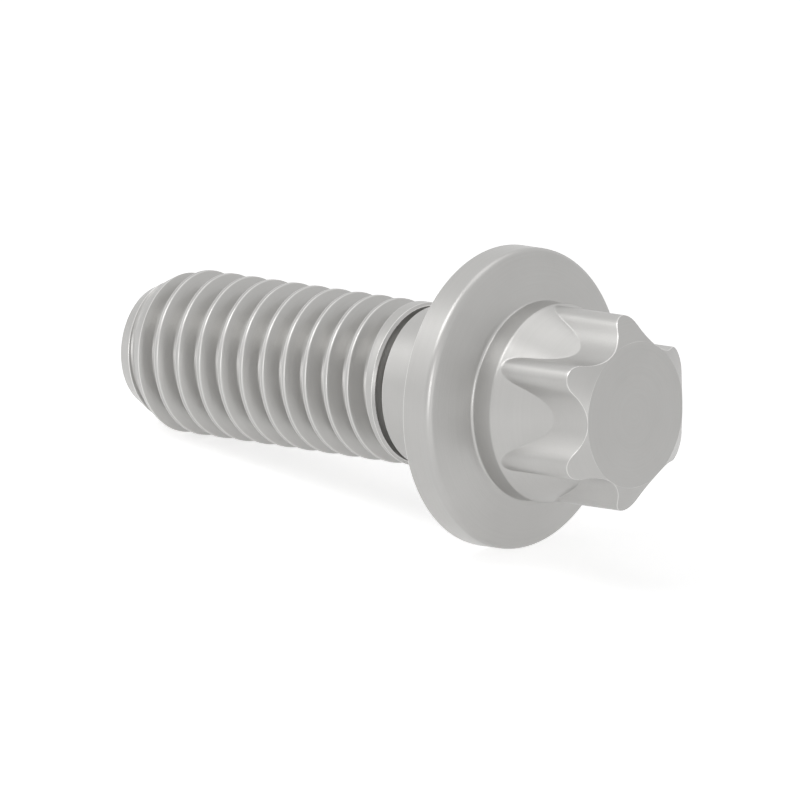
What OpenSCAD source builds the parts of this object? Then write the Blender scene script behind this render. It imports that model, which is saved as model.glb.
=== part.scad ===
// Flange screw with an external six-lobe head, lying as it comes to rest: on the rim of its
// flange and on the first full turn of its thread. The tip is at -X and the head at +X.
// Sizes are in millimetres. Heights along the screw are measured from the bearing face
// under the flange, which is at zero: the shank is below it and the head is above it.

/* [Thread] */
// Nominal diameter of the thread
nominal_d = 6; // [5.9:0.01:6.1]
// How much smaller the diameter over the crests is than the nominal one
crest_allowance = 0.04; // [0.02:0.01:0.1]
// Distance from one thread turn to the next
pitch = 1; // [0.75:0.05:1.25]
// Angle between the two flanks of the thread groove
flank_angle = 60; // [55:1:65]
// Flat steps that make up one turn of the thread
turn_steps = 48; // [24:12:48]

/* [Shank] */
// Length from the bearing face to the tip
shank_length = 16.1; // [10:0.1:20]
// Diameter of the flat face at the tip
point_d = 4.41; // [4:0.01:4.7]
// Slope of the conical point, as radius gained for each millimetre of length
point_slope = 0.5; // [0.4:0.05:0.8]
// Diameter of the plain neck under the flange
neck_d = 5.88; // [5.6:0.01:5.96]
// Length of the plain neck under the flange
neck_length = 3.15; // [2:0.05:4]
// Width of the narrow relief groove between the thread and the neck
relief_width = 0.35; // [0.2:0.05:0.6]
// Diameter at the bottom of the relief groove
relief_d = 4.7; // [4.4:0.1:5.2]
// Chamfer on the last edge of the threaded length
band_chamfer = 0.1; // [0.05:0.01:0.2]
// Fillet radius between the neck and the bearing face
neck_fillet = 0.15; // [0.1:0.01:0.3]

/* [Flange] */
// Outside diameter of the flange
flange_d = 11; // [10:0.1:13]
// Thickness at the rim, up to the corner that is rounded off
rim_height = 1.18; // [0.8:0.01:1.6]
// Radius of the rounded front edge of the rim
rim_round = 0.28; // [0.1:0.01:0.4]
// Slope of the front face, in degrees from square to the axis
face_angle = 16.5; // [5:0.5:20]

/* [Head] */
// Height from the bearing face to the end face
head_height = 6.39; // [5.5:0.01:8]
// Diameter over two opposite lobes
lobe_d = 7.2; // [6.8:0.01:7.4]
// Diameter between two opposite valleys
valley_d = 5.34; // [5.1:0.01:5.5]
// Radius of the rounded lobe tips
lobe_tip_r = 0.6; // [0.4:0.01:0.7]
// Diameter of the round collar at the foot of the lobes
collar_d = 7.28; // [7.2:0.01:8]
// Height from the bearing face to the top of the collar
collar_height = 2.58; // [2.2:0.01:3]
// Fillet radius where the collar meets the front face of the flange
collar_fillet = 0.1; // [0.05:0.01:0.2]
// Height at which the cone above the collar has run down to the valleys
cone_top = 4.8; // [3.6:0.1:5.2]
// Angle of the end chamfer, in degrees from square to the axis
end_angle = 32; // [25:1:45]

/* [Hidden] */
$fn = 96;
lobes = 6;
arc_steps = 4;
nominal_r = nominal_d / 2;
thread_r = (nominal_d - crest_allowance) / 2;
point_r = point_d / 2;
neck_r = neck_d / 2;
relief_r = relief_d / 2;
flange_r = flange_d / 2;
collar_r = collar_d / 2;
end_r = valley_d / 2;
steel_grey = [0.72, 0.72, 0.7];

// Thread form: a sharp triangle of this height, cut off at the crest and at the root.
flank_rise = 1 / tan(flank_angle / 2);
sharp_height = pitch / 2 * flank_rise;
root_r = nominal_r - 17 / 24 * sharp_height;
root_corner_r = root_r + sharp_height / 24;
groove_half = pitch / 2 - pitch / 16 - (nominal_r - thread_r) / flank_rise;
root_half = groove_half - (thread_r - root_corner_r) / flank_rise;

// A plain core reaches this far up inside the thread, and keeps this far below its roots.
core_length = 0.9;
core_r = root_r - 0.1;

// Heights along the shank.
tip_z = -shank_length;
relief_top = -neck_length;
relief_foot = relief_top - relief_width;
band_z = relief_foot - band_chamfer;
point_length = (thread_r - point_r) / point_slope;

// The chamfer starts just inside the flats of the thread's outline.
chamfer_r = thread_r * cos(180 / turn_steps) - 0.01;

// In line with a lobe the last groove lies this far below the band, in pitches, and it
// fades out between two angles. It narrows with its depth, down to a part of its width.
last_gap = 0.947;
last_groove = band_z - last_gap * pitch;
fade_start = 150;
fade_end = 290;
least_width = 0.3;
turns = ceil((last_groove - tip_z) / pitch) + 1;

// Lying at rest, the screw leans by the angle between its two points of contact.
rest_tilt = atan((flange_r - thread_r) / (shank_length - point_length));
left_end = tip_z * cos(rest_tilt) - point_r * sin(rest_tilt);
right_end = head_height * cos(rest_tilt) + end_r * sin(rest_tilt);

// Points of an arc from one angle to another.
function arc(centre, r, from, to) = [
    for (i = [0 : arc_steps])
        let (a = from + (to - from) * i / arc_steps)
        centre + r * [cos(a), sin(a)]
];

// Radius of the conical point at a height.
function point_cone(z) = point_r + (z - tip_z) * point_slope;

// How much of the full groove depth is cut at an angle along the last turns.
function groove_depth(angle) =
    angle < fade_start ? 1
    : angle > fade_end ? 0
    : pow(cos(90 * (angle - fade_start) / (fade_end - fade_start)), 2);

// A point of the thread's outline, kept between the tip and the band.
function kept(z, r) =
    z <= tip_z ? [tip_z, point_r]
    : let (h = min(z, band_z)) [h, min(r, thread_r, point_cone(h))];

// Five points across a groove, with the crest edges slid down the flanks to the cone.
function groove(z, depth) =
    let (
        width = max(depth, least_width),
        corner = thread_r - depth * (thread_r - root_corner_r),
        bottom = thread_r - depth * (thread_r - root_r),
        low = z - width * root_half,
        high = z + width * root_half,
        low_cut = (corner + flank_rise * low - point_r + point_slope * tip_z)
            / (flank_rise + point_slope),
        high_cut = (point_r - point_slope * tip_z - corner + flank_rise * high)
            / (flank_rise - point_slope)
    )
    [
        kept(min(max(z - width * groove_half, low_cut), low), thread_r),
        kept(low, corner),
        kept(z, bottom),
        kept(high, corner),
        kept(depth < 1 ? z + width * groove_half
            : max(min(z + groove_half, high_cut), high), thread_r)
    ];

// The thread's outline from tip to band at one angle around the screw.
function outline(angle) = concat(
    [[tip_z, point_r]],
    [
        for (n = [turns : -1 : -1])
            for (p = groove(
                last_groove + (angle / 360 - n) * pitch,
                groove_depth(angle - 360 * n)
            ))
                p
    ],
    [[band_z, thread_r]]
);

// Number of a point in the thread's mesh; the last column is the first one, a turn further on.
function vertex(column, row, rows) =
    column < turn_steps ? column * rows + row
    : row == 0 ? 0
    : min(row + 5, rows - 1);

// The threaded length as one closed mesh, from the flat tip to the band above the last groove.
module threaded_length() {
    columns = [for (i = [0 : turn_steps - 1]) outline(360 * i / turn_steps)];
    rows = len(columns[0]);
    points = [
        for (i = [0 : turn_steps - 1])
            for (p = columns[i])
                [p[1] * cos(360 * i / turn_steps), p[1] * sin(360 * i / turn_steps), p[0]]
    ];
    sides = [
        for (i = [0 : turn_steps - 1])
            for (j = [0 : rows - 2])
                let (
                    a = vertex(i, j, rows),
                    b = vertex(i + 1, j, rows),
                    c = vertex(i + 1, j + 1, rows),
                    d = vertex(i, j + 1, rows)
                )
                for (f = [[a, c, b], [a, d, c]])
                    if (points[f[0]] != points[f[1]]
                        && points[f[1]] != points[f[2]]
                        && points[f[2]] != points[f[0]])
                        f
    ];
    tip_face = [for (i = [0 : turn_steps - 1]) i * rows];
    band_face = [for (i = [turn_steps - 1 : -1 : 0]) i * rows + rows - 1];
    polyhedron(points, concat(sides, [tip_face, band_face]), convexity = 10);
}

// Relief groove, neck, flange and collar, turned about the axis in one outline.
module turned_body() {
    face_run = tan(face_angle);
    face_foot = rim_height + (flange_r - collar_r) * face_run;
    rim_centre = [
        flange_r - rim_round,
        rim_height + rim_round * face_run - rim_round / cos(face_angle)
    ];
    foot_centre = [
        collar_r + collar_fillet,
        face_foot - collar_fillet * face_run + collar_fillet / cos(face_angle)
    ];
    rotate_extrude()
        polygon(concat(
            [
                [0, band_z - core_length],
                [core_r, band_z - core_length],
                [core_r, band_z],
                [chamfer_r, band_z],
                [thread_r - band_chamfer, relief_foot],
                [relief_r, relief_foot],
                [relief_r, relief_top],
                [neck_r, relief_top]
            ],
            arc([neck_r + neck_fillet, -neck_fillet], neck_fillet, 180, 90),
            [[flange_r, 0]],
            arc(rim_centre, rim_round, 0, 90 - face_angle),
            arc(foot_centre, collar_fillet, 270 - face_angle, 180),
            [
                [collar_r, collar_height],
                [end_r, cone_top],
                [0, cone_top]
            ]
        ));
}

// Outline of the lobes: round tips joined by round valleys that meet them smoothly.
module lobe_outline() {
    half = 180 / lobes;
    tip_c = lobe_d / 2 - lobe_tip_r;
    valley_r = (lobe_tip_r * lobe_tip_r - tip_c * tip_c - end_r * end_r
        + 2 * tip_c * end_r * cos(half))
        / (2 * (end_r - tip_c * cos(half) - lobe_tip_r));
    valley_c = end_r + valley_r;
    joint = [tip_c, 0] + (valley_c * [cos(half), sin(half)] - [tip_c, 0])
        * lobe_tip_r / (lobe_tip_r + valley_r);
    turn = atan2(joint[1], joint[0] - tip_c);
    sweep = turn - half;
    polygon([
        for (n = [0 : lobes - 1])
            for (p = concat(
                arc([tip_c, 0], lobe_tip_r, -turn, turn),
                [
                    for (i = [1 : 2 * arc_steps - 1])
                        let (a = 180 + half + sweep - sweep * i / arc_steps)
                        valley_c * [cos(half), sin(half)] + valley_r * [cos(a), sin(a)]
                ]
            ))
                [
                    p[0] * cos(2 * half * n) - p[1] * sin(2 * half * n),
                    p[0] * sin(2 * half * n) + p[1] * cos(2 * half * n)
                ]
    ]);
}

// The lobes stand on the flange, and a cone chamfers their ends down to the valleys.
module lobed_head() {
    wide_r = collar_r + 1;
    intersection() {
        translate([0, 0, rim_height])
            linear_extrude(head_height - rim_height)
                lobe_outline();
        rotate_extrude()
            polygon([
                [0, 0],
                [wide_r, 0],
                [wide_r, head_height - (wide_r - end_r) * tan(end_angle)],
                [end_r, head_height],
                [0, head_height]
            ]);
    }
}

// The whole screw standing on its axis, with one lobe in line with +X.
module upright_screw() {
    threaded_length();
    turned_body();
    lobed_head();
}

// The screw laid down on its rim and its thread, centred over the origin.
module screw() {
    color(steel_grey)
        translate([-(left_end + right_end) / 2, 0, flange_r * cos(rest_tilt)])
            rotate([0, -rest_tilt, 0])
                rotate([180, 0, 0])
                    rotate([0, 90, 0])
                        upright_screw();
}

screw();
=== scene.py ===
"""A flange screw with an external six-lobe head, lying at rest on a pale studio floor.

The surface is made of three skins, each a tube of rows and columns around the screw's axis:
the threaded shank, the turned body with its neck and flange, and the lobed head. They meet
edge to edge and are sewn into one closed mesh, as the real screw is one piece of steel.
"""

import logging
import math
from dataclasses import dataclass, field
from enum import Enum
from typing import Any, Sequence, Union

import bmesh
import bpy
from mathutils import Matrix, Vector

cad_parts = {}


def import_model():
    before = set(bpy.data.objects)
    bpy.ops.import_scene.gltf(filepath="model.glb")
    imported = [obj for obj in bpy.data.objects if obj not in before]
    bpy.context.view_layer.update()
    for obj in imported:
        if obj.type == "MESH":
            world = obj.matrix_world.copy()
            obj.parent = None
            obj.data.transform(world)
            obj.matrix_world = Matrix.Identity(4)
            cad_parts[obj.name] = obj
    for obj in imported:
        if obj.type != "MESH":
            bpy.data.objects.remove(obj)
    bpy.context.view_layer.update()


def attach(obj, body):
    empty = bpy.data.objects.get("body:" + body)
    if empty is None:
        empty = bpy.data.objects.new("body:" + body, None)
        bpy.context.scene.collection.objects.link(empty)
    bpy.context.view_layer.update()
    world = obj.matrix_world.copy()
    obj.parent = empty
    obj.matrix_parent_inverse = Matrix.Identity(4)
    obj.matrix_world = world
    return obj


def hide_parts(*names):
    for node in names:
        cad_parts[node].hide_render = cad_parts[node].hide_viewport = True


LOG = logging.getLogger("screw")
MM = 0.001
FULL_TURN = 2 * math.pi

# The Mix node's colour sockets, by number because other kinds of data share their names
MIX_SHARE, MIX_FIRST, MIX_SECOND, MIX_RESULT = 0, 6, 7, 2

Value = Union["Expression", float]
Triple = tuple[float, float, float]


class Expression:
    """A node's output socket that takes part in Python arithmetic.

    Works in shader trees and in geometry trees, because both share the Math node.
    """

    def __init__(self, graph: "Graph", socket: bpy.types.NodeSocket) -> None:
        """Wraps one output socket of a graph."""
        self.graph = graph
        self.socket = socket

    def __add__(self, other: Value) -> "Expression":
        """Adds two values."""
        return self.graph.math("ADD", self, other)

    __radd__ = __add__

    def __sub__(self, other: Value) -> "Expression":
        """Subtracts the other value from this one."""
        return self.graph.math("SUBTRACT", self, other)

    def __rsub__(self, other: Value) -> "Expression":
        """Subtracts this value from the other one."""
        return self.graph.math("SUBTRACT", other, self)

    def __mul__(self, other: Value) -> "Expression":
        """Multiplies two values."""
        return self.graph.math("MULTIPLY", self, other)

    __rmul__ = __mul__

    def __truediv__(self, other: Value) -> "Expression":
        """Divides this value by the other one."""
        return self.graph.math("DIVIDE", self, other)

    def __rtruediv__(self, other: Value) -> "Expression":
        """Divides the other value by this one."""
        return self.graph.math("DIVIDE", other, self)

    def __neg__(self) -> "Expression":
        """Turns the sign round."""
        return self.graph.math("MULTIPLY", self, -1.0)


class Graph:
    """Builds the nodes of one shader or geometry tree."""

    def __init__(self, tree: bpy.types.NodeTree) -> None:
        """Starts on a tree that may hold nodes already."""
        self.tree = tree

    def make(
        self,
        kind: str,
        settings: dict[str, Any] | None = None,
        sockets: dict[str | int, Any] | None = None,
    ) -> bpy.types.Node:
        """Makes one node.

        Args:
            kind: The node's type name.
            settings: Properties of the node, set before its sockets.
            sockets: Values or links by socket name, or by number for sockets that share a name.

        Returns:
            The new node.
        """
        node = self.tree.nodes.new(kind)
        for name, value in (settings or {}).items():
            setattr(node, name, value)
        for name, value in (sockets or {}).items():
            socket = node.inputs[name]
            if isinstance(value, Expression):
                self.tree.links.new(value.socket, socket)
            elif isinstance(value, bpy.types.NodeSocket):
                self.tree.links.new(value, socket)
            else:
                socket.default_value = value
        return node

    def out(self, node: bpy.types.Node, name: str | int = 0) -> Expression:
        """Wraps one output of a node."""
        return Expression(self, node.outputs[name])

    def math(self, operation: str, *values: Value) -> Expression:
        """Adds a Math node whose operands are numbers or expressions."""
        sockets = dict(enumerate(values))
        return self.out(self.make("ShaderNodeMath", {"operation": operation}, sockets))

    def clamp(self, value: Value, low: Value, high: Value) -> Expression:
        """Keeps a value between two limits."""
        return self.math("MINIMUM", self.math("MAXIMUM", value, low), high)

    def whole_runs(self, count: Expression, length: int) -> Expression:
        """Counts the whole runs of a length, half a step away from rounding errors."""
        return self.math("FLOOR", (count + 0.5) / length)

    def root(self, value: Expression) -> Expression:
        """Takes the square root, which is 0 for a value below 0."""
        return self.math("SQRT", self.math("MAXIMUM", value, 0.0))

    def vector(self, x: Value, y: Value, z: Value) -> Expression:
        """Joins three values into a vector."""
        return self.out(self.make("ShaderNodeCombineXYZ", sockets={"X": x, "Y": y, "Z": z}))

    def split(self, vector: Expression) -> tuple[Expression, ...]:
        """Splits a vector into its three values."""
        node = self.make("ShaderNodeSeparateXYZ", sockets={"Vector": vector})
        return tuple(self.out(node, axis) for axis in "XYZ")

    def mix_colours(self, share: Value, first: Any, second: Any) -> bpy.types.NodeSocket:
        """Mixes two colours.

        Args:
            share: How much of the second colour there is, from 0 to 1.
            first: A colour, or the socket that gives it.
            second: A colour, or the socket that gives it.

        Returns:
            The socket of the mixed colour.
        """
        sockets = {MIX_SHARE: share, MIX_FIRST: first, MIX_SECOND: second}
        return self.make("ShaderNodeMix", {"data_type": "RGBA"}, sockets).outputs[MIX_RESULT]


@dataclass(frozen=True)
class Resting:
    """How the screw lies: on its rim and its first full thread turn, head end raised.

    The outermost points of its tip and of its end face are given as (height, radius).
    """

    rim_radius: float
    thread_radius: float
    foot_distance: float
    tip: tuple[float, float]
    end: tuple[float, float]

    @property
    def tilt(self) -> float:
        """Angle in radians by which the axis leans up towards the head."""
        return math.atan((self.rim_radius - self.thread_radius) / self.foot_distance)

    @property
    def turn(self) -> Triple:
        """The lean as a turn about each axis."""
        return (0.0, -self.tilt, 0.0)

    @property
    def bearing_centre(self) -> Vector:
        """Place of the bearing face's centre, with the lying screw centred over the origin."""
        cosine, sine = math.cos(self.tilt), math.sin(self.tilt)
        left = self.tip[0] * cosine - self.tip[1] * sine
        right = self.end[0] * cosine + self.end[1] * sine
        return Vector((-(left + right) / 2, 0.0, self.rim_radius * cosine))


@dataclass(frozen=True)
class GridPoint:
    """What a skin's tree knows of a point before the point has its place."""

    graph: Graph
    row: Expression
    angle: Expression
    size: dict[str, Expression]
    guide: bpy.types.NodeSocket

    def guide_point(self) -> tuple[Expression, Expression]:
        """Height and radius of the guide point that has the row's number."""
        graph = self.graph
        position = graph.out(graph.make("GeometryNodeInputPosition"))
        sample = graph.make(
            "GeometryNodeSampleIndex",
            {"data_type": "FLOAT_VECTOR", "domain": "POINT"},
            {"Geometry": self.guide, "Value": position, "Index": self.row},
        )
        height, radius, _ = graph.split(graph.out(sample))
        return height, radius


@dataclass
class Skin:
    """A tube of rows and columns around the screw's axis, made by Geometry Nodes.

    A point's height runs along the axis from the bearing face towards the head, and its
    angle is counted from the lobe that points up.
    """

    name: str = "skin"
    columns: int = 216
    merge_distance: float = 0.0002 * MM

    def row_count(self) -> int:
        """Number of rows from the first to the last."""
        raise NotImplementedError

    def sizes(self) -> dict[str, float]:
        """Sizes that become the tree's named inputs."""
        return {}

    def guide(self) -> list[Vector]:
        """Points that the tree reads by row, as (height, radius); a skin may need none."""
        return []

    def place(self, point: GridPoint) -> tuple[Expression, Expression]:
        """Gives a point of the skin its place.

        Args:
            point: The point's row and angle, and the tree's inputs.

        Returns:
            The point's height and radius.
        """
        raise NotImplementedError

    def build(self, resting: Resting, material: bpy.types.Material) -> bpy.types.Mesh:
        """Runs the skin's tree once and keeps the result as a plain mesh.

        Args:
            resting: Where the lying screw is and how it leans.
            material: The finish that the skin gets.

        Returns:
            The skin's mesh in the frame of the lying screw.
        """
        tree = bpy.data.node_groups.new(self.name, "GeometryNodeTree")
        identifiers = self._make_sockets(tree)
        self._make_nodes(tree, resting)
        guide = bpy.data.meshes.new(self.name)
        guide.from_pydata([point.to_3d() for point in self.guide()], [], [])
        carrier = bpy.data.objects.new(self.name, guide)
        bpy.context.scene.collection.objects.link(carrier)
        modifier = carrier.modifiers.new(self.name, "NODES")
        modifier.node_group = tree
        for name, value in {**self.sizes(), "Finish": material}.items():
            modifier[identifiers[name]] = value
        evaluated = carrier.evaluated_get(bpy.context.evaluated_depsgraph_get())
        mesh = bpy.data.meshes.new_from_object(evaluated)
        carrier.modifiers.remove(modifier)
        bpy.data.objects.remove(carrier)
        bpy.data.meshes.remove(guide)
        LOG.info("%s: %d points, %d faces", self.name, len(mesh.vertices), len(mesh.polygons))
        return mesh

    def _make_sockets(self, tree: bpy.types.NodeTree) -> dict[str, str]:
        """Gives the tree its inputs and its output.

        Args:
            tree: The tree, with no sockets yet.

        Returns:
            The identifier of each input by its name.
        """
        shape, number = "NodeSocketGeometry", "NodeSocketFloat"
        kinds = {
            "Geometry": shape,
            **dict.fromkeys(self.sizes(), number),
            "Finish": "NodeSocketMaterial",
        }
        tree.interface.new_socket("Geometry", in_out="OUTPUT", socket_type=shape)
        return {
            name: tree.interface.new_socket(name, in_out="INPUT", socket_type=kind).identifier
            for name, kind in kinds.items()
        }

    def _make_nodes(self, tree: bpy.types.NodeTree, resting: Resting) -> None:
        """Fills the tree: a grid, rolled up into the skin, laid down and dressed.

        Args:
            tree: The tree, which has its sockets.
            resting: Where the lying screw is and how it leans.
        """
        graph = Graph(tree)
        source = graph.make("NodeGroupInput")
        rows = self.row_count()
        counts = {"Vertices X": self.columns + 1, "Vertices Y": rows}
        grid = graph.make("GeometryNodeMeshGrid", sockets=counts)
        index = graph.out(graph.make("GeometryNodeInputIndex"))
        column = graph.whole_runs(index, rows)
        angle = column * (FULL_TURN / self.columns)
        height, radius = self.place(
            GridPoint(
                graph=graph,
                row=index - column * rows,
                angle=angle,
                size={name: graph.out(source, name) for name in self.sizes()},
                guide=source.outputs["Geometry"],
            )
        )
        side = -(radius * graph.math("SINE", angle))
        rise = radius * graph.math("COSINE", angle)
        lean = {"Translation": resting.bearing_centre, "Rotation": resting.turn}
        steps = (
            ("GeometryNodeSetPosition", {"Position": graph.vector(height, side, rise)}),
            ("GeometryNodeMergeByDistance", {"Distance": self.merge_distance}),
            ("GeometryNodeTransform", lean),
            ("GeometryNodeRealizeInstances", {}),
            ("GeometryNodeSetMaterial", {"Material": source.outputs["Finish"]}),
        )
        shape = grid.outputs["Mesh"]
        for kind, sockets in steps:
            shape = graph.make(kind, sockets={"Geometry": shape, **sockets}).outputs[0]
        graph.make("NodeGroupOutput", sockets={"Geometry": shape})


def stations(
    graph: Graph, place: Expression, heights: Sequence[Value], gather: float
) -> Expression:
    """Spreads rows over the stretches between heights, closer together near each height.

    Args:
        graph: The tree to build in.
        place: The row's place, counted in stretches.
        heights: Heights at the ends of the stretches.
        gather: How strongly rows gather at the ends, from 0 to 1.

    Returns:
        The row's height.
    """
    height = heights[0]
    for number, (low, high) in enumerate(zip(heights, heights[1:])):
        share = graph.clamp(place - number, 0.0, 1.0)
        share = share - graph.math("SINE", share * FULL_TURN) * (gather / FULL_TURN)
        height = height + (high - low) * share
    return height


@dataclass
class ThreadedShank(Skin):
    """The rolled thread, the conical point that cuts it, and the flat tip face.

    In line with the lobe that points up, the last groove lies last_gap pitches below the
    band. It fades out between two angles along the helix, and narrows with its depth down to
    least_width of its full width. The groove above a crest cuts it too, which is worked out
    for the rows past next_groove_from stretches.
    """

    nominal_radius: float = 3.0 * MM
    crest_radius: float = 2.98 * MM
    pitch: float = 1.0 * MM
    flank_angle: float = 60.0
    sharp_root_share: float = 7 / 8
    root_arc_share: float = 1 / 6
    tip_height: float = -16.1 * MM
    point_radius: float = 2.205 * MM
    point_slope: float = 0.5
    band_height: float = -3.6 * MM
    last_gap: float = 0.947
    fade_start: float = 150.0
    fade_end: float = 290.0
    least_width: float = 0.3
    edge_round: float = 0.05 * MM
    tip_round: float = 0.03 * MM
    join_gap: float = 0.04 * MM
    groove_stretches: int = 4
    stretch_rows: int = 5
    next_groove_from: float = 2.5
    fading_turns: int = 1
    cap_rows: int = 6
    tip_bend_rows: int = 3
    gather: float = 0.8
    cap_gather: float = 4.0
    name: str = "threaded_shank"

    @property
    def flank_rise(self) -> float:
        """Radius gained along a flank for each unit of height."""
        return 1 / math.tan(math.radians(self.flank_angle / 2))

    @property
    def sharp_height(self) -> float:
        """Height of the sharp triangle that the thread form is cut from."""
        return self.pitch / 2 * self.flank_rise

    @property
    def sharp_root(self) -> float:
        """Radius at which the two flanks of a groove would meet."""
        return self.nominal_radius - self.sharp_height * self.sharp_root_share

    @property
    def root_arc(self) -> float:
        """Radius of the arc that rounds the bottom of a groove."""
        return self.sharp_height * self.root_arc_share

    @property
    def root_half(self) -> float:
        """Half the width of the arc at the bottom of a groove."""
        return self.root_arc * math.cos(math.radians(self.flank_angle / 2))

    @property
    def lowest_turn(self) -> int:
        """Turns from the last groove down to one that lies below the tip."""
        length = self.band_height - self.last_gap * self.pitch - self.tip_height
        return math.ceil(length / self.pitch) + 1

    @property
    def groove_rows(self) -> int:
        """Rows across a groove and the crest above it."""
        return self.groove_stretches * self.stretch_rows

    @property
    def join_height(self) -> float:
        """Height at which the turned body takes over."""
        return self.band_height - self.join_gap

    def row_count(self) -> int:
        """Rows of the tip face, of every groove and its crest, and the closing row."""
        grooves = self.lowest_turn + 1 + self.fading_turns
        return self.cap_rows + self.groove_rows * grooves + 1

    def sizes(self) -> dict[str, float]:
        """Driving sizes of the thread."""
        return {
            "Pitch": self.pitch,
            "Crest Radius": self.crest_radius,
            "Point Radius": self.point_radius,
            "Point Slope": self.point_slope,
            "Edge Round": self.edge_round,
        }

    def place(self, point: GridPoint) -> tuple[Expression, Expression]:
        """Follows the groove's form along a right-hand helix.

        Args:
            point: The point's row and angle, with rows from the middle of the tip face upwards.

        Returns:
            The point's height and radius.
        """
        graph, size = point.graph, point.size
        pitch, crest, slope = size["Pitch"], size["Crest Radius"], size["Point Slope"]
        rise, rounding = self.flank_rise, size["Edge Round"]

        # The groove that the row belongs to, and the height of its middle at this angle
        thread_row = graph.math("MAXIMUM", point.row - self.cap_rows, 0.0)
        groove = graph.whole_runs(thread_row, self.groove_rows)
        turned = point.angle - (self.lowest_turn - groove) * FULL_TURN
        last = self.band_height - pitch * self.last_gap
        centre = last + turned / FULL_TURN * pitch
        depth, width = self._depth_and_width(graph, turned)
        next_depth, next_width = self._depth_and_width(graph, turned + FULL_TURN)

        # Heights of the groove's corners, slid down the flanks where the point cuts them
        groove_half = (crest - self.sharp_root) / rise
        limits = (self.root_half, groove_half)
        cone_at_centre = size["Point Radius"] + (centre - self.tip_height) * slope
        clearance = cone_at_centre - self.sharp_root
        low_half = graph.clamp(clearance / (slope + rise), *limits)
        high_half = graph.clamp(clearance / (rise - slope), *limits)
        next_half = graph.clamp((clearance + pitch * slope) / (slope + rise), *limits)
        heights = [
            centre - width * low_half,
            centre - width * self.root_half,
            centre + width * self.root_half,
            centre + width * high_half,
            centre + pitch - next_width * next_half,
        ]
        within = (thread_row - groove * self.groove_rows) / self.stretch_rows
        height = stations(graph, within, heights, self.gather)

        # What this groove takes from the crest radius, and what the one above takes
        away = graph.math("ABSOLUTE", height - centre) / width
        form = self._groove_form(graph, away)
        cut = graph.math("SMOOTH_MIN", form - crest, 0.0, rounding) * depth
        next_away = graph.math("ABSOLUTE", centre + pitch - height) / next_width
        next_form = next_away * rise + self.sharp_root
        next_cut = graph.math("SMOOTH_MIN", next_form - crest, 0.0, rounding) * next_depth
        on_crest = graph.math("GREATER_THAN", within, self.next_groove_from)
        radius = crest + cut + next_cut * on_crest

        # The conical point, and the even ring that the turned body is sewn to
        height = graph.clamp(height, self.tip_height + self.tip_round, self.join_height)
        cone = size["Point Radius"] + (height - self.tip_height) * slope
        radius = graph.math("SMOOTH_MIN", radius, cone, rounding)
        at_join = graph.math("GREATER_THAN", height, self.join_height - self.merge_distance)
        radius = radius + (crest - radius) * at_join
        return self._close_tip(point, height, radius)

    def _depth_and_width(self, graph: Graph, turned: Expression) -> tuple[Expression, ...]:
        """Fades the groove out at the run-out.

        Args:
            graph: The tree to build in.
            turned: The angle along the helix, counted from the last groove.

        Returns:
            The shares of the full depth, 0 past the run-out, and of the full width.
        """
        start, end = math.radians(self.fade_start), math.radians(self.fade_end)
        share = graph.clamp((turned - start) / (end - start), 0.0, 1.0)
        cosine = graph.math("COSINE", share * (FULL_TURN / 4))
        depth = cosine * cosine
        return depth, graph.math("MAXIMUM", depth, self.least_width)

    def _groove_form(self, graph: Graph, away: Expression) -> Expression:
        """Gives the groove its straight flanks and round bottom.

        Args:
            graph: The tree to build in.
            away: Distance along the axis from the middle of the groove.

        Returns:
            The radius of the groove's surface.
        """
        flank = away * self.flank_rise + self.sharp_root
        arc_centre = self.sharp_root + 2 * self.root_arc
        arc = arc_centre - graph.root(self.root_arc**2 - away * away)
        in_root = graph.math("LESS_THAN", away, self.root_half)
        return flank + (arc - flank) * in_root

    def _close_tip(
        self, point: GridPoint, height: Expression, radius: Expression
    ) -> tuple[Expression, Expression]:
        """Rounds the tip's edge and closes the tip face with the lowest rows.

        Args:
            point: The point's row, and the tree's inputs.
            height: The point's height on the thread.
            radius: The point's radius on the thread.

        Returns:
            The point's height and radius.
        """
        graph = point.graph
        bent = graph.clamp((self.cap_rows - point.row) / self.tip_bend_rows, 0.0, 1.0)
        fallen = (1.0 - (1.0 - bent) * (1.0 - bent)) * self.tip_round
        drawn_in = point.size["Point Slope"] * fallen
        radius = radius - drawn_in - bent * bent * self.tip_round
        flat_rows = self.cap_rows - self.tip_bend_rows
        inwards = 1.0 - graph.clamp(point.row / flat_rows, 0.0, 1.0)
        reach = 1.0 - graph.math("POWER", inwards, self.cap_gather)
        return height - fallen, radius * reach


@dataclass(frozen=True)
class Corner:
    """A corner of a turned outline: height, radius and the radius it is rounded to."""

    height: float
    radius: float
    rounding: float = 0.0

    @property
    def point(self) -> Vector:
        """The corner as (height, radius)."""
        return Vector((self.height, self.radius))


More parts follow.
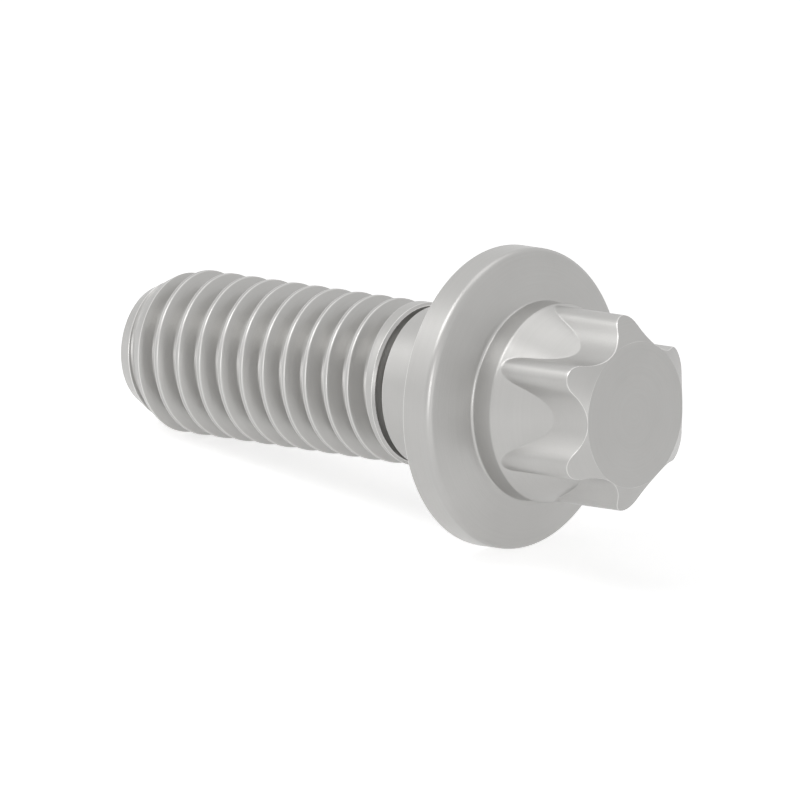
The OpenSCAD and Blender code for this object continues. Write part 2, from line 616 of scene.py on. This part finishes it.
@dataclass
class TurnedBody(Skin):
    """Band, relief groove, neck, flange and the side of the collar, turned in one outline."""

    shank: ThreadedShank = field(default_factory=ThreadedShank)
    band_chamfer: float = 0.1 * MM
    relief_width: float = 0.35 * MM
    relief_radius: float = 2.35 * MM
    relief_round: float = 0.13 * MM
    neck_radius: float = 2.94 * MM
    neck_fillet: float = 0.15 * MM
    flange_radius: float = 5.5 * MM
    rim_height: float = 1.18 * MM
    rim_round: float = 0.28 * MM
    face_angle: float = 16.5
    collar_radius: float = 3.64 * MM
    collar_fillet: float = 0.1 * MM
    collar_height: float = 2.58 * MM
    edge_round: float = 0.04 * MM
    band_round: float = 0.02 * MM
    join_gap: float = 0.1 * MM
    arc_steps: int = 5
    name: str = "turned_body"

    @property
    def join_height(self) -> float:
        """Height at which the lobed head takes over, on the side of the collar."""
        return self.collar_height - self.join_gap

    def corners(self) -> list[Corner]:
        """Corners of the outline from the end of the thread to the collar."""
        band, crest = self.shank.band_height, self.shank.crest_radius
        relief_foot = band + self.band_chamfer
        relief_top = relief_foot + self.relief_width
        face_rise = math.tan(math.radians(self.face_angle))
        face_foot = self.rim_height + (self.flange_radius - self.collar_radius) * face_rise
        return [
            Corner(self.shank.join_height, crest),
            Corner(band, crest, self.band_round),
            Corner(relief_foot, crest - self.band_chamfer, self.edge_round),
            Corner(relief_foot, self.relief_radius, self.relief_round),
            Corner(relief_top, self.relief_radius, self.relief_round),
            Corner(relief_top, self.neck_radius, self.edge_round),
            Corner(0.0, self.neck_radius, self.neck_fillet),
            Corner(0.0, self.flange_radius, self.edge_round),
            Corner(self.rim_height, self.flange_radius, self.rim_round),
            Corner(face_foot, self.collar_radius, self.collar_fillet),
            Corner(self.join_height, self.collar_radius),
        ]

    def guide(self) -> list[Vector]:
        """Points of the outline, with every corner between its two ends rounded."""
        corners = self.corners()
        points = [corners[0].point]
        for before, corner, after in zip(corners, corners[1:], corners[2:]):
            points.extend(self._rounded(before, corner, after))
        points.append(corners[-1].point)
        return points

    def _rounded(self, before: Corner, corner: Corner, after: Corner) -> list[Vector]:
        """Rounds a corner by an arc and sets a close point on each side of it.

        Args:
            before: The corner before it.
            corner: The corner to round.
            after: The corner after it.

        Returns:
            The points as (height, radius).
        """
        here = corner.point
        to_before = (before.point - here).normalized()
        to_after = (after.point - here).normalized()
        half_opening = to_before.angle(to_after) / 2
        reach = corner.rounding / math.tan(half_opening)
        inset = corner.rounding / math.sin(half_opening)
        middle = here + (to_before + to_after).normalized() * inset
        first, last = here + to_before * reach, here + to_after * reach
        start = math.atan2(*reversed(first - middle))
        turn = math.remainder(math.atan2(*reversed(last - middle)) - start, FULL_TURN)
        points = [first + to_before * reach / self.arc_steps]
        for step in range(self.arc_steps + 1):
            bearing = start + turn * step / self.arc_steps
            spoke = Vector((math.cos(bearing), math.sin(bearing)))
            points.append(middle + spoke * corner.rounding)
        points.append(last + to_after * reach / self.arc_steps)
        return points

    def row_count(self) -> int:
        """One row for each point of the outline."""
        return len(self.guide())

    def place(self, point: GridPoint) -> tuple[Expression, Expression]:
        """Takes the row's place from the outline, the same at every angle.

        Args:
            point: The point's row, and the outline.

        Returns:
            The point's height and radius.
        """
        return point.guide_point()


@dataclass
class LobedHead(Skin):
    """Six rounded lobes that rise out of a cone on the collar, with a chamfered end."""

    body: TurnedBody = field(default_factory=TurnedBody)
    lobes: int = 6
    lobe_radius: float = 3.6 * MM
    valley_radius: float = 2.67 * MM
    lobe_tip: float = 0.6 * MM
    cone_top: float = 4.8 * MM
    end_height: float = 6.39 * MM
    end_angle: float = 32.0
    edge_round: float = 0.045 * MM
    foot_round: float = 0.035 * MM
    stretches: int = 5
    stretch_rows: int = 14
    gather: float = 0.85
    end_gather: float = 3.0
    name: str = "lobed_head"

    def row_count(self) -> int:
        """Rows of the stretches from the collar to the middle of the end face."""
        return self.stretches * self.stretch_rows + 1

    def sizes(self) -> dict[str, float]:
        """Driving sizes of the head."""
        return {
            "Lobe Radius": self.lobe_radius,
            "Valley Radius": self.valley_radius,
            "Lobe Tip": self.lobe_tip,
            "Cone Top": self.cone_top,
            "Edge Round": self.edge_round,
            "Foot Round": self.foot_round,
        }

    def place(self, point: GridPoint) -> tuple[Expression, Expression]:
        """Puts rows along the collar, the cone, the lobes, their end chamfer and the end face.

        Args:
            point: The point's row and angle, with rows from the collar upwards.

        Returns:
            The point's height and radius.
        """
        graph, size = point.graph, point.size
        collar_top, collar = self.body.collar_height, self.body.collar_radius
        valley = size["Valley Radius"]
        outline = self._lobe_outline(point)
        cone_fall = (collar - valley) / (size["Cone Top"] - collar_top)
        cone_end = collar_top + (collar - outline) / cone_fall
        end_rise = math.tan(math.radians(self.end_angle))
        chamfer_start = self.end_height - (outline - valley) * end_rise
        heights = [self.body.join_height, collar_top, cone_end, chamfer_start, self.end_height]
        within = point.row / self.stretch_rows
        height = stations(graph, within, heights, self.gather)

        cone = collar - (height - collar_top) * cone_fall
        chamfer = valley + (self.end_height - height) / end_rise
        lobe = graph.math("SMOOTH_MIN", outline, chamfer, size["Edge Round"])
        raised = graph.math("SMOOTH_MAX", lobe, cone, size["Foot Round"])
        radius = graph.math("SMOOTH_MIN", raised, collar, size["Foot Round"])
        inwards = graph.clamp(within - (self.stretches - 1), 0.0, 1.0)
        return height, radius * (1.0 - graph.math("POWER", inwards, self.end_gather))

    def _lobe_outline(self, point: GridPoint) -> Expression:
        """Joins round lobe tips smoothly by round valleys.

        Args:
            point: The point's angle, and the tree's inputs.

        Returns:
            The radius of the lobed outline.
        """
        graph, size = point.graph, point.size
        half = math.pi / self.lobes
        cosine, sine = math.cos(half), math.sin(half)
        tip, valley = size["Lobe Tip"], size["Valley Radius"]
        tip_centre = size["Lobe Radius"] - tip

        # Radius at which a valley's arc touches the arcs of the two tips beside it
        valley_round = (
            tip * tip
            - tip_centre * tip_centre
            - valley * valley
            + tip_centre * valley * (2 * cosine)
        ) / ((valley - tip_centre * cosine - tip) * 2)
        valley_centre = valley + valley_round
        share = tip / (tip + valley_round)
        joint_x = tip_centre + (valley_centre * cosine - tip_centre) * share
        joint_y = valley_centre * sine * share
        joint = graph.math("ARCTAN2", joint_y, joint_x)

        from_lobe = graph.math("PINGPONG", point.angle, half)
        across = graph.math("SINE", from_lobe) * tip_centre
        forward = graph.math("COSINE", from_lobe) * tip_centre
        on_tip = forward + graph.root(tip * tip - across * across)
        to_valley = half - from_lobe
        across = graph.math("SINE", to_valley) * valley_centre
        forward = graph.math("COSINE", to_valley) * valley_centre
        on_valley = forward - graph.root(valley_round * valley_round - across * across)
        in_valley = graph.math("GREATER_THAN", from_lobe, joint)
        return on_tip + (on_valley - on_tip) * in_valley


class Shade(Enum):
    """Colours of the scene, in linear light."""

    STEEL = (0.504, 0.499, 0.488)
    STEEL_DARK = (0.434, 0.429, 0.419)
    # Bright steel on the edges: wear from handling, and also a painted highlight
    STEEL_WORN_AND_HIGHLIT = (0.806, 0.800, 0.783)
    FLOOR = (0.86, 0.86, 0.86)
    WHITE = (1.0, 1.0, 1.0)

    @property
    def rgba(self) -> tuple[float, float, float, float]:
        """The colour with full cover."""
        return (*self.value, 1.0)


@dataclass(frozen=True)
class Texture:
    """A fine unevenness of the steel: the size of its spots, and what they change."""

    size: float
    detail: float
    darkening: float = 0.0
    roughening: float = 0.0
    height: float = 0.0

    def noise(self, graph: Graph, place: Expression) -> Expression:
        """Soft noise from 0 to 1 whose spots have the texture's size."""
        sockets = {"Vector": place, "Scale": 1.0 / self.size, "Detail": self.detail}
        return graph.out(graph.make("ShaderNodeTexNoise", sockets=sockets))


@dataclass(frozen=True)
class SatinSteel:
    """Satin steel with fine marks around the screw's axis, bright on its edges: partly wear from
    handling, partly a painted highlight.
    """

    metallic: float = 0.80
    roughness: float = 0.36
    roughness_change: float = 0.20
    noise_middle: float = 0.5
    cloud: Texture = Texture(1.6 * MM, 3.0, darkening=0.5, roughening=0.3)
    grain: Texture = Texture(0.05 * MM, 2.0, roughening=0.3, height=0.003 * MM)
    marks: Texture = Texture(
        0.06 * MM, 2.0, darkening=0.35, roughening=0.4, height=0.0045 * MM
    )
    mark_length: float = 4.0 * MM
    relief_strength: float = 0.5
    # Share of the edges' bright colour, for wear and painted highlight, that is always there
    edge_wear_and_highlight_cover: float = 0.75
    rubbed_smoothness: float = 0.08
    edge_wear_and_highlight_attribute: str = "worn_and_highlit_edge"

    def material(self, name: str, resting: Resting) -> bpy.types.Material:
        """Makes the finish.

        Args:
            name: The material's name.
            resting: How the lying screw's axis runs, for the marks around it.

        Returns:
            The material.
        """
        material = bpy.data.materials.new(name)
        material.use_nodes = True
        material.node_tree.nodes.clear()
        graph = Graph(material.node_tree)
        place = graph.out(graph.make("ShaderNodeTexCoord"), "Object")
        cloud = self.cloud.noise(graph, place)
        grain = self.grain.noise(graph, place)
        marks = self.marks.noise(graph, self._along_marks(graph, place, resting))
        # Edge mask: wear from handling, and also where a painted highlight runs along the edges
        wear_and_highlight = {"attribute_name": self.edge_wear_and_highlight_attribute}
        worn_and_highlit = graph.out(graph.make("ShaderNodeAttribute", wear_and_highlight), "Fac")

        darkened = cloud * self.cloud.darkening + marks * self.marks.darkening
        colour = graph.mix_colours(darkened, Shade.STEEL.rgba, Shade.STEEL_DARK.rgba)
        # Painted highlight: on tight edges the colour goes to bright steel, partly for wear,
        # partly standing in for light caught there
        cover = worn_and_highlit * (self.edge_wear_and_highlight_cover + cloud * (1.0 - self.edge_wear_and_highlight_cover))
        tone = graph.mix_colours(cover, colour, Shade.STEEL_WORN_AND_HIGHLIT.rgba)
        change = (
            grain * self.grain.roughening
            + marks * self.marks.roughening
            + cloud * self.cloud.roughening
            - self.noise_middle
        )
        rough = self.roughness + change * self.roughness_change
        relief = grain * self.grain.height + marks * self.marks.height
        bump = {"Strength": self.relief_strength, "Distance": MM, "Height": relief / MM}
        steel = {
            "Base Color": tone,
            "Metallic": self.metallic,
            "Roughness": rough - worn_and_highlit * self.rubbed_smoothness,
            "Normal": graph.out(graph.make("ShaderNodeBump", sockets=bump)),
        }
        surface = graph.out(graph.make("ShaderNodeBsdfPrincipled", sockets=steel))
        graph.make("ShaderNodeOutputMaterial", sockets={"Surface": surface})
        return material

    def _along_marks(self, graph: Graph, place: Expression, resting: Resting) -> Expression:
        """Stretches places around the screw's axis, so that spots there become long marks.

        Args:
            graph: The material's tree.
            place: The point on the piece.
            resting: How the lying screw's axis runs.

        Returns:
            The stretched place.
        """
        upright = graph.make(
            "ShaderNodeMapping",
            {"vector_type": "TEXTURE"},
            {"Vector": place, "Location": resting.bearing_centre, "Rotation": resting.turn},
        )
        along, side, rise = graph.split(graph.out(upright))
        radius = graph.math("SQRT", side * side + rise * rise)
        stretch = self.marks.size / self.mark_length
        return graph.vector(along + side * stretch, radius, rise * stretch)


@dataclass
class Screw:
    """The whole screw: three skins sewn into one closed mesh."""

    head: LobedHead = field(default_factory=LobedHead)
    finish: SatinSteel = field(default_factory=SatinSteel)
    sharp_angle: float = 28.0
    sew_distance: float = 0.0005 * MM
    sliver_size: float = 0.00005 * MM
    # Bend radii for the bright edges of wear and painted highlight
    wear_and_highlight_radii: tuple[float, float] = (0.075 * MM, 0.045 * MM)
    name: str = "screw_steel"

    @property
    def skins(self) -> tuple[ThreadedShank, TurnedBody, LobedHead]:
        """The three skins from the tip to the end face."""
        return self.head.body.shank, self.head.body, self.head

    def resting(self) -> Resting:
        """Works out how the screw lies from its own sizes."""
        shank, body, head = self.skins
        point_length = (shank.crest_radius - shank.point_radius) / shank.point_slope
        return Resting(
            rim_radius=body.flange_radius,
            thread_radius=shank.crest_radius,
            foot_distance=-shank.tip_height - point_length,
            tip=(shank.tip_height, shank.point_radius),
            end=(head.end_height, head.valley_radius),
        )

    def build(self) -> bpy.types.Object:
        """Makes the three skins, sews them and shades them.

        Returns:
            The screw's object, with its place in its mesh.
        """
        resting = self.resting()
        material = self.finish.material("satin_steel", resting)
        sewn = self._sew(resting, material)
        self._smooth(sewn)
        self._mark_worn_and_highlit_edges(sewn)
        open_edges = sum(not edge.is_manifold for edge in sewn.edges)
        mesh = bpy.data.meshes.new(self.name)
        sewn.to_mesh(mesh)
        sewn.free()
        mesh.materials.append(material)
        screw = bpy.data.objects.new(self.name, mesh)
        bpy.context.scene.collection.objects.link(screw)
        triangles = sum(len(polygon.vertices) - 2 for polygon in mesh.polygons)
        LOG.info("%s: %d triangles, %d open edges", self.name, triangles, open_edges)
        return screw

    def _sew(self, resting: Resting, material: bpy.types.Material) -> bmesh.types.BMesh:
        """Joins the skins where they meet, and turns every face outwards.

        Args:
            resting: Where the lying screw is and how it leans.
            material: The finish of all the skins.

        Returns:
            The closed mesh.
        """
        sewn = bmesh.new()
        for skin in self.skins:
            part = skin.build(resting, material)
            sewn.from_mesh(part)
            bpy.data.meshes.remove(part)
        bmesh.ops.remove_doubles(sewn, verts=sewn.verts, dist=self.sew_distance)
        bmesh.ops.dissolve_degenerate(sewn, edges=sewn.edges, dist=self.sliver_size)
        bmesh.ops.recalc_face_normals(sewn, faces=sewn.faces)
        return sewn

    def _smooth(self, sewn: bmesh.types.BMesh) -> None:
        """Shades the mesh smooth except across its sharp edges, in its one material.

        Args:
            sewn: The closed mesh of the screw.
        """
        sharp = math.radians(self.sharp_angle)
        for edge in sewn.edges:
            edge.smooth = edge.calc_face_angle(math.pi) < sharp
        for face in sewn.faces:
            face.smooth = True
            face.material_index = 0

    def _mark_worn_and_highlit_edges(self, sewn: bmesh.types.BMesh) -> None:
        """Marks the points on tight outward bends, where handling wears the steel bright and where
        a painted highlight runs.

        Bends rounder than the first of the two radii stay dull, and those as tight as the
        second are fully bright.

        Args:
            sewn: The closed mesh of the screw.
        """
        layer = sewn.verts.layers.float.new(self.finish.edge_wear_and_highlight_attribute)
        wide, tight = (1.0 / radius for radius in self.wear_and_highlight_radii)
        middles = {face: face.calc_center_median() for face in sewn.faces}
        for edge in sewn.edges:
            if len(edge.link_faces) != 2:
                continue
            one, other = edge.link_faces
            reach = (middles[one] - middles[other]).length
            bend = edge.calc_face_angle_signed(0.0) / max(reach, self.sew_distance)
            # Share of bright steel here: wear, and a painted highlight along the edge
            worn_and_highlit = min(max((bend - wide) / (tight - wide), 0.0), 1.0)
            for vertex in edge.verts:
                vertex[layer] = max(vertex[layer], worn_and_highlit)


@dataclass(frozen=True)
class Lamp:
    """A soft square lamp that faces the screw, in a direction from it."""

    name: str
    direction: Triple
    side: float
    watts: float
    distance: float = 120 * MM

    def hang(self) -> None:
        """Puts the lamp into the scene."""
        data = bpy.data.lights.new(self.name, "AREA")
        data.shape = "SQUARE"
        data.size = self.side
        data.energy = self.watts
        data.color = Shade.WHITE.value
        lamp = bpy.data.objects.new(self.name, data)
        bpy.context.scene.collection.objects.link(lamp)
        direction = Vector(self.direction).normalized()
        lamp.location = direction * self.distance
        lamp.rotation_euler = direction.to_track_quat("Z", "Y").to_euler()


@dataclass
class Studio:
    """Pale floor, soft lamps and the camera.

    The camera looks at the screw's side, turned by side_angle towards the head end and by
    down_angle downwards. In the photograph the bearing face's centre is at bearing_pixel.
    """

    picture_size: int = 800
    pixels_per_mm: float = 27.6
    side_angle: float = 40.0
    down_angle: float = 10.0
    bearing_pixel: tuple[float, float] = (500.14, 395.11)
    camera_distance: float = 200 * MM
    camera_range: tuple[float, float] = (1 * MM, 10_000 * MM)
    floor_radius: float = 3000 * MM
    floor_corners: int = 64
    floor_glow: float = 0.64
    world_light: float = 0.3
    lamps: tuple[Lamp, ...] = (
        Lamp("key", (-0.68, -0.52, 0.38), 80 * MM, 0.0085),
        Lamp("front", (0.594, -0.754, 0.279), 40 * MM, 0.0175),
        Lamp("end", (0.97, -0.24, 0.17), 40 * MM, 0.0045),
        Lamp("high", (-0.3, -0.5, 0.8), 60 * MM, 0.032),
        Lamp("top", (-0.2, 0.2, 1.0), 80 * MM, 0.014),
    )

    def build(self, resting: Resting) -> None:
        """Sets up floor, backdrop, lamps and camera.

        Args:
            resting: Where the lying screw is and how it leans.
        """
        self._lay_floor()
        self._light_world()
        for lamp in self.lamps:
            lamp.hang()
        self._set_camera(resting)
        bpy.context.scene.view_settings.view_transform = "Standard"

    def _set_camera(self, resting: Resting) -> None:
        """Puts the camera where the photograph was taken from.

        Args:
            resting: Where the lying screw is and how it leans.
        """
        turn = (
            Matrix.Rotation(-resting.tilt, 3, "Y")
            @ Matrix.Rotation(math.radians(self.side_angle), 3, "Z")
            @ Matrix.Rotation(math.radians(90.0 - self.down_angle), 3, "X")
        )
        right, up, back = (turn.col[axis] for axis in range(3))
        metres_per_pixel = MM / self.pixels_per_mm
        middle = self.picture_size / 2
        across, down = (middle - pixel for pixel in self.bearing_pixel)
        offset = (right * across - up * down) * metres_per_pixel
        place = resting.bearing_centre + offset + back * self.camera_distance
        data = bpy.data.cameras.new("camera")
        data.type = "ORTHO"
        data.ortho_scale = self.picture_size * metres_per_pixel
        data.clip_start, data.clip_end = self.camera_range
        camera = bpy.data.objects.new("camera", data)
        bpy.context.scene.collection.objects.link(camera)
        camera.matrix_world = Matrix.Translation(place) @ turn.to_4x4()
        bpy.context.scene.camera = camera

    def _lay_floor(self) -> None:
        """Lays a wide pale floor that keeps the screw's shadow."""
        mesh = bpy.data.meshes.new("floor")
        disc = bmesh.new()
        bmesh.ops.create_circle(
            disc, cap_ends=True, segments=self.floor_corners, radius=self.floor_radius
        )
        disc.to_mesh(mesh)
        disc.free()
        floor = bpy.data.objects.new("floor", mesh)
        bpy.context.scene.collection.objects.link(floor)
        mesh.materials.append(self._floor_material())

    def _seen(self, graph: Graph) -> Expression:
        """1 for rays from the camera or off metal and glass, 0 for scattered light."""
        path = graph.make("ShaderNodeLightPath")
        seen = graph.out(path, "Is Camera Ray")
        for name in ("Is Glossy Ray", "Is Transmission Ray"):
            seen = graph.math("MAXIMUM", seen, graph.out(path, name))
        return seen

    def _floor_material(self) -> bpy.types.Material:
        """Pale floor with a glow for seen rays that brings it to white outside the shadow."""
        material = bpy.data.materials.new("pale_floor")
        material.use_nodes = True
        material.node_tree.nodes.clear()
        graph = Graph(material.node_tree)
        paint = graph.make("ShaderNodeBsdfDiffuse", sockets={"Color": Shade.FLOOR.rgba})
        strength = self._seen(graph) * self.floor_glow
        glow = graph.make(
            "ShaderNodeEmission", sockets={"Color": Shade.WHITE.rgba, "Strength": strength}
        )
        both = graph.make("ShaderNodeAddShader", sockets={0: graph.out(paint), 1: graph.out(glow)})
        graph.make("ShaderNodeOutputMaterial", sockets={"Surface": graph.out(both)})
        return material

    def _light_world(self) -> None:
        """White backdrop for the camera, softer grey light on the object."""
        world = bpy.data.worlds.new("studio")
        world.use_nodes = True
        world.node_tree.nodes.clear()
        graph = Graph(world.node_tree)
        strength = self._seen(graph) * (1.0 - self.world_light) + self.world_light
        background = graph.make(
            "ShaderNodeBackground", sockets={"Color": Shade.WHITE.rgba, "Strength": strength}
        )
        graph.make("ShaderNodeOutputWorld", sockets={"Surface": graph.out(background)})
        bpy.context.scene.world = world


def main() -> None:
    """Loads the frame, dresses the screw and sets the stage."""
    logging.basicConfig(level=logging.INFO, format="%(name)s: %(message)s")
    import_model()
    screw = Screw()
    dressed = screw.build()
    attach(dressed, "root")
    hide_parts("screw")
    Studio().build(screw.resting())


if __name__ == "__main__":
    main()
